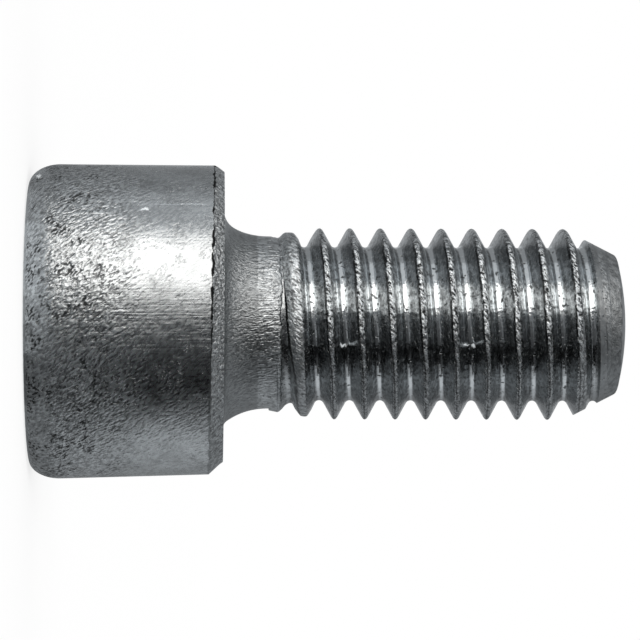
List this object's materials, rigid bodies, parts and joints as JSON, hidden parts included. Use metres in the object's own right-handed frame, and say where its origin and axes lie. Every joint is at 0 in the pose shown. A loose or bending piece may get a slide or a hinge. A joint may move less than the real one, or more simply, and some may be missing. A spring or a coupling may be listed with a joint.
{
  "type": "socket head cap screw",
  "caption": "Steel cap screw with a tall round head, a hexagon socket, a filleted neck and a rolled right-hand thread that ends in a coned point.",
  "frame": {"origin": "centre of the head's flat outer face, which the screw stands on", "axes": "+Z along the screw's axis from head to point; +X points to a corner of the hexagon socket"},
  "size_m": [0.0128, 0.0128, 0.0244],
  "materials": {
    "steel": "bare cold-forged steel, finely pitted head, smooth rolled thread flanks"
  },
  "bodies": {
    "root": {"cap_screw": "steel"}
  },
  "joints": []
}
